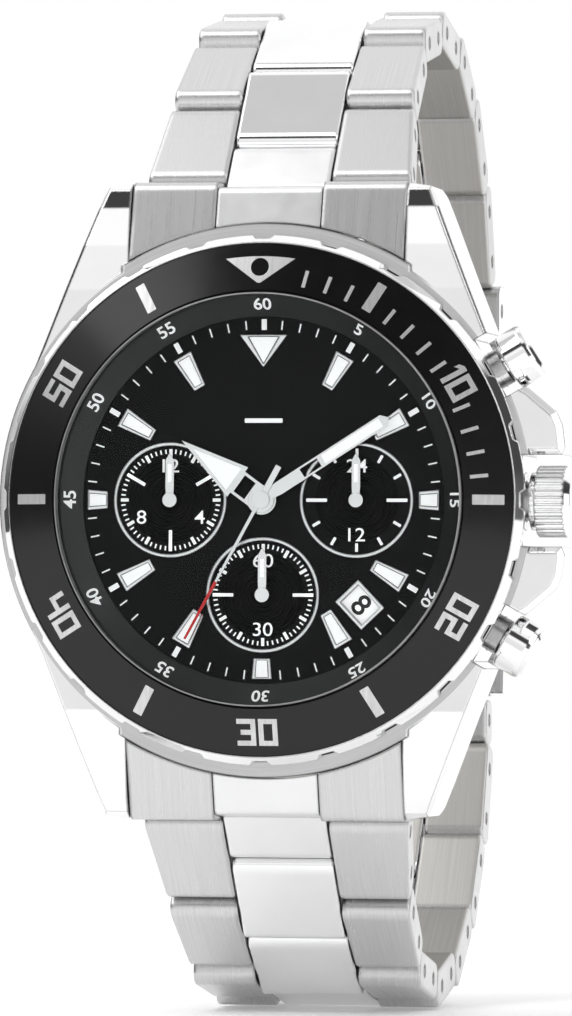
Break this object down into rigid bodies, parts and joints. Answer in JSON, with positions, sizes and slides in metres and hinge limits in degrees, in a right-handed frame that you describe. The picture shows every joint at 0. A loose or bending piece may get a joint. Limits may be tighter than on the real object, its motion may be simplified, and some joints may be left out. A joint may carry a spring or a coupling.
{
  "type": "chronograph wristwatch",
  "caption": "Steel chronograph wristwatch with a turning timing bezel, crown, two pushers, three subdials, date window and a three-piece-link bracelet with folding clasp.",
  "frame": {"origin": "on the dial axis, at the outer face of the case back, where the watch rests on the wrist", "axes": "dial faces -Y, 12 o'clock is +Z, the crown at 3 o'clock is +X; +Y points out of the case back, towards the wrist"},
  "size_m": [0.0452, 0.0605, 0.0812],
  "materials": {
    "polished_steel": "mirror polished stainless steel",
    "brushed_steel": "lengthwise brushed stainless steel",
    "brushed_case_back": "circular brushed stainless steel",
    "spring_steel": "plain spring steel",
    "hand_steel": "polished",
    "movement_metal": "plated movement metal",
    "crystal": "clear flat mineral glass",
    "bezel_black": "glossy black",
    "dial_black": "satin black with a fine sunburst",
    "date_white": "matt white",
    "marking_white": "printed white",
    "marking_silver": "silver ink",
    "lume_white": "matt luminous fill",
    "seconds_red": "red lacquer",
    "gasket": "matt black",
    "holder_plastic": "moulded"
  },
  "bodies": {
    "case": {"case_middle": "polished_steel", "case_back": "brushed_case_back", "gaskets": "gasket", "control_tubes": "polished_steel", "bezel_click_spring": "spring_steel", "crystal": "crystal", "chapter_ring": "dial_black", "dial": "dial_black", "applied_markers": "polished_steel", "movement": "movement_metal", "movement_holder": "holder_plastic", "end_links": "brushed_steel", "spring_bars": "spring_steel", "pusher_2_spring": "spring_steel", "pusher_4_spring": "spring_steel"},
    "bezel": {"bezel_ring": "polished_steel", "bezel_insert": "bezel_black"},
    "hour_hand": {"hour_hand": "hand_steel"},
    "minute_hand": {"minute_hand": "hand_steel"},
    "day_hand": {"day_hand_24h": "hand_steel"},
    "date_wheel": {"date_wheel": "date_white"},
    "chrono_seconds": {"chrono_seconds_hand": "hand_steel"},
    "minute_counter": {"minute_counter_hand": "hand_steel"},
    "hour_counter": {"hour_counter_hand": "hand_steel"},
    "winding_rotor": {"winding_rotor": "movement_metal"},
    "setting_pinion": {"setting_pinion": "movement_metal"},
    "crown": {"crown": "polished_steel"},
    "pusher_2": {"pusher_2": "polished_steel"},
    "pusher_4": {"pusher_4": "polished_steel"},
    "row_12_1": {"row_12_1_sides": "brushed_steel", "row_12_1_centre": "polished_steel"},
    "row_12_2": {"row_12_2_sides": "brushed_steel", "row_12_2_centre": "polished_steel"},
    "row_12_3": {"row_12_3_sides": "brushed_steel", "row_12_3_centre": "polished_steel"},
    "row_12_4": {"row_12_4_sides": "brushed_steel", "row_12_4_centre": "polished_steel"},
    "row_12_5": {"row_12_5_sides": "brushed_steel", "row_12_5_centre": "polished_steel"},
    "row_12_6": {"row_12_6_sides": "brushed_steel", "row_12_6_centre": "polished_steel"},
    "row_12_7": {"row_12_7_sides": "brushed_steel", "row_12_7_centre": "polished_steel"},
    "row_6_1": {"row_6_1_sides": "brushed_steel", "row_6_1_centre": "polished_steel"},
    "row_6_2": {"row_6_2_sides": "brushed_steel", "row_6_2_centre": "polished_steel"},
    "row_6_3": {"row_6_3_sides": "brushed_steel", "row_6_3_centre": "polished_steel"},
    "row_6_4": {"row_6_4_sides": "brushed_steel", "row_6_4_centre": "polished_steel"},
    "row_6_5": {"row_6_5_sides": "brushed_steel", "row_6_5_centre": "polished_steel"},
    "row_6_6": {"row_6_6_sides": "brushed_steel", "row_6_6_centre": "polished_steel"},
    "row_6_7": {"row_6_7_sides": "brushed_steel", "row_6_7_centre": "polished_steel"},
    "clasp_inner_blade": {"clasp_inner_blade": "brushed_steel"},
    "clasp_outer_blade": {"clasp_outer_blade": "brushed_steel"},
    "clasp_cover": {"clasp_cover": "brushed_steel"}
  },
  "joints": [
    {"name": "bezel_turn", "type": "hinge", "parent": "case", "child": "bezel", "pos_m": [0, 0, 0], "axis": [0, 1, 0], "continuous": true},
    {"name": "minute_hand_turn", "type": "hinge", "parent": "case", "child": "minute_hand", "pos_m": [0, 0, 0], "axis": [0, 1, 0], "continuous": true},
    {"name": "hour_hand_turn", "type": "hinge", "parent": "case", "child": "hour_hand", "pos_m": [0, 0, 0], "axis": [0, 1, 0], "continuous": true},
    {"name": "day_hand_turn", "type": "hinge", "parent": "case", "child": "day_hand", "pos_m": [0.0074, 0, 0], "axis": [0, 1, 0], "continuous": true},
    {"name": "date_wheel_turn", "type": "hinge", "parent": "case", "child": "date_wheel", "pos_m": [0, 0, 0], "axis": [0, 1, 0], "continuous": true},
    {"name": "chrono_seconds_turn", "type": "hinge", "parent": "case", "child": "chrono_seconds", "pos_m": [0, 0, 0], "axis": [0, 1, 0], "continuous": true},
    {"name": "minute_counter_turn", "type": "hinge", "parent": "case", "child": "minute_counter", "pos_m": [0, 0, -0.0074], "axis": [0, 1, 0], "continuous": true},
    {"name": "hour_counter_turn", "type": "hinge", "parent": "case", "child": "hour_counter", "pos_m": [-0.0074, 0, 0], "axis": [0, 1, 0], "continuous": true},
    {"name": "rotor_turn", "type": "hinge", "parent": "case", "child": "winding_rotor", "pos_m": [0, 0, 0], "axis": [0, 1, 0], "continuous": true},
    {"name": "crown_turn", "type": "hinge", "parent": "case", "child": "setting_pinion", "pos_m": [0.0116, -0.0041, 0], "axis": [1, 0, 0], "continuous": true},
    {"name": "crown_pull", "type": "slide", "parent": "setting_pinion", "child": "crown", "axis": [1, 0, 0], "range_m": [0, 0.0012]},
    {"name": "pusher_2_press", "type": "slide", "parent": "case", "child": "pusher_2", "axis": [-0.866, 0, -0.5], "range_m": [0, 0.0009], "stiffness_N_per_m": 1500, "springref_m": -0.001, "deforming": ["pusher_2_spring"]},
    {"name": "pusher_4_press", "type": "slide", "parent": "case", "child": "pusher_4", "axis": [-0.866, 0, 0.5], "range_m": [0, 0.0009], "stiffness_N_per_m": 1500, "springref_m": -0.001, "deforming": ["pusher_4_spring"]},
    {"name": "hinge_12_1", "type": "hinge", "parent": "case", "child": "row_12_1", "pos_m": [0, -0.0001, 0.0259], "axis": [1, 0, 0], "range_deg": [0, 22]},
    {"name": "hinge_12_2", "type": "hinge", "parent": "row_12_1", "child": "row_12_2", "pos_m": [0, 0.00579, 0.03244], "axis": [1, 0, 0], "range_deg": [0, 18]},
    {"name": "hinge_12_3", "type": "hinge", "parent": "row_12_2", "child": "row_12_3", "pos_m": [0, 0.01308, 0.03736], "axis": [1, 0, 0], "range_deg": [0, 28]},
    {"name": "hinge_12_4", "type": "hinge", "parent": "row_12_3", "child": "row_12_4", "pos_m": [0, 0.02175, 0.03889], "axis": [1, 0, 0], "range_deg": [0, 25]},
    {"name": "hinge_12_5", "type": "hinge", "parent": "row_12_4", "child": "row_12_5", "pos_m": [0, 0.03039, 0.03721], "axis": [1, 0, 0], "range_deg": [0, 25]},
    {"name": "hinge_12_6", "type": "hinge", "parent": "row_12_5", "child": "row_12_6", "pos_m": [0, 0.03785, 0.03255], "axis": [1, 0, 0], "range_deg": [0, 24]},
    {"name": "hinge_12_7", "type": "hinge", "parent": "row_12_6", "child": "row_12_7", "pos_m": [0, 0.04327, 0.02561], "axis": [1, 0, 0], "range_deg": [0, 22]},
    {"name": "hinge_6_1", "type": "hinge", "parent": "case", "child": "row_6_1", "pos_m": [0, -0.0001, -0.0259], "axis": [-1, 0, 0], "range_deg": [0, 22]},
    {"name": "hinge_6_2", "type": "hinge", "parent": "row_6_1", "child": "row_6_2", "pos_m": [0, 0.00579, -0.03244], "axis": [-1, 0, 0], "range_deg": [0, 18]},
    {"name": "hinge_6_3", "type": "hinge", "parent": "row_6_2", "child": "row_6_3", "pos_m": [0, 0.01308, -0.03736], "axis": [-1, 0, 0], "range_deg": [0, 28]},
    {"name": "hinge_6_4", "type": "hinge", "parent": "row_6_3", "child": "row_6_4", "pos_m": [0, 0.02175, -0.03889], "axis": [-1, 0, 0], "range_deg": [0, 25]},
    {"name": "hinge_6_5", "type": "hinge", "parent": "row_6_4", "child": "row_6_5", "pos_m": [0, 0.03039, -0.03721], "axis": [-1, 0, 0], "range_deg": [0, 25]},
    {"name": "hinge_6_6", "type": "hinge", "parent": "row_6_5", "child": "row_6_6", "pos_m": [0, 0.03785, -0.03255], "axis": [-1, 0, 0], "range_deg": [0, 24]},
    {"name": "hinge_6_7", "type": "hinge", "parent": "row_6_6", "child": "row_6_7", "pos_m": [0, 0.04327, -0.02561], "axis": [-1, 0, 0], "range_deg": [0, 22]},
    {"name": "clasp_hinge_6", "type": "hinge", "parent": "row_6_7", "child": "clasp_inner_blade", "pos_m": [0, 0.04628, -0.01734], "axis": [-1, 0, 0], "range_deg": [0, 16]},
    {"name": "clasp_fold", "type": "hinge", "parent": "clasp_inner_blade", "child": "clasp_outer_blade", "pos_m": [0, 0.0464, 0.013], "axis": [1, 0, 0], "range_deg": [0, 120]},
    {"name": "clasp_cover_swing", "type": "hinge", "parent": "clasp_outer_blade", "child": "clasp_cover", "pos_m": [0, 0.0472, -0.0142], "axis": [-1, 0, 0], "range_deg": [0, 150]}
  ],
  "couplings": [
    {"joint": "hour_hand_turn", "follows": "minute_hand_turn", "ratio": 0.083333},
    {"joint": "day_hand_turn", "follows": "minute_hand_turn", "ratio": 0.041667},
    {"joint": "date_wheel_turn", "follows": "minute_hand_turn", "ratio": 0.0013441},
    {"joint": "minute_counter_turn", "follows": "chrono_seconds_turn", "ratio": 0.016667},
    {"joint": "hour_counter_turn", "follows": "chrono_seconds_turn", "ratio": 0.0013889},
    {"joint": "clasp_fold", "follows": "clasp_cover_swing", "ratio": 0.8}
  ]
}
